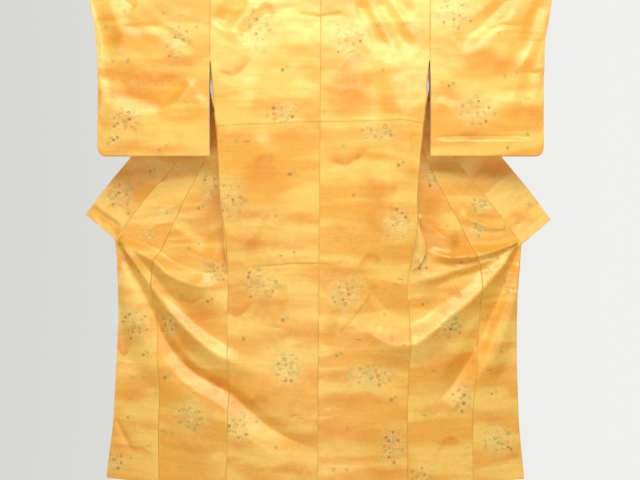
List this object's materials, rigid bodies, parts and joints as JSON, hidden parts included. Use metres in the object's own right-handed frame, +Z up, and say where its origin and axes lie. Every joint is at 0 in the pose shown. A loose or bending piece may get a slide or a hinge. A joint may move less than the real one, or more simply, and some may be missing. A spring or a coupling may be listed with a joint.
{
  "type": "lined kimono on a hanging rod",
  "caption": "Golden silk kimono hung flat over a plain wooden rod, seen from its back, with both fronts and the opened wide collar spread out behind it.",
  "frame": {"origin": "middle of the hanging rod, on its axis", "axes": "+X along the rod to the right of someone who looks at the garment's back, -Y towards that person, +Z up"},
  "size_m": [1.56, 0.1433, 1.6829],
  "materials": {
    "silk": "golden figured silk satin with orange haze and small flower clusters",
    "lining": "matt pale pinkish white silk",
    "rod_wood": "varnished straight-grained wood"
  },
  "bodies": {
    "root": {"back_left": "silk", "back_right": "silk", "front_left": "silk", "front_right": "silk", "okumi_left": "silk", "okumi_right": "silk", "collar": "silk", "sleeve_left": "silk", "sleeve_right": "silk", "lining_left": "lining", "lining_right": "lining", "hanging_rod": "rod_wood"}
  },
  "joints": []
}
